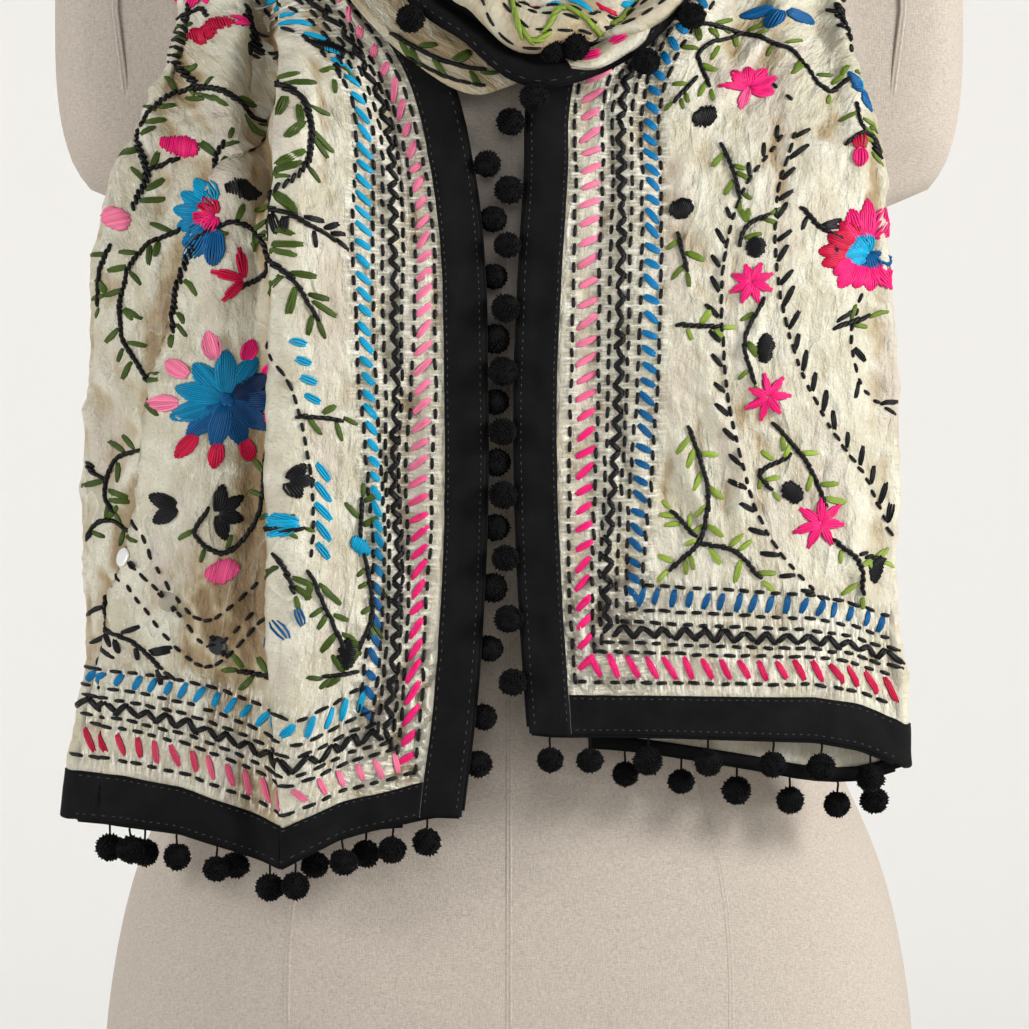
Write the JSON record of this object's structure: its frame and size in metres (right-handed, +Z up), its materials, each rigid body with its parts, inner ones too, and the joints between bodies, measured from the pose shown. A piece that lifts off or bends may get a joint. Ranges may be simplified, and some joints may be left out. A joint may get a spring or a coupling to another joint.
{
  "type": "embroidered stole on a dress form",
  "caption": "Silk stole folded lengthwise, edged with black tape and pompoms, embroidered with flowers and vines, wound once round the neck of a limbless linen dress form.",
  "frame": {"origin": "the middle of the dress form's flat base, on the surface it stands on", "axes": "+Z up, -Y to the front of the form, +X to the viewer's right when seen from the front"},
  "size_m": [0.406, 0.2701, 0.762],
  "materials": {
    "linen": "greige linen cover, matt, with a close plain weave",
    "silk": "crumpled ivory silk with a soft sheen and golden brown shades, embroidered in wool and cotton",
    "tape": "black cotton tape, matt, topstitched along both edges",
    "pompom": "black wool, fuzzy and matt"
  },
  "bodies": {
    "root": {"dress_form": "linen", "end_left": "silk", "end_right": "silk", "nape_under": "silk", "nape_over": "silk", "neck_loop": "silk", "tape_left_side": "tape", "tape_left_hem": "tape", "tape_right_side": "tape", "tape_right_hem": "tape", "tape_nape_under": "tape", "tape_nape_over": "tape", "tape_neck_loop": "tape", "pompoms_left_side": "pompom", "pompoms_left_hem": "pompom", "pompoms_left_behind": "pompom", "pompoms_right_side": "pompom", "pompoms_right_hem": "pompom", "pompoms_right_behind": "pompom", "pompoms_nape_over": "pompom", "pompoms_neck_loop": "pompom"}
  },
  "joints": []
}
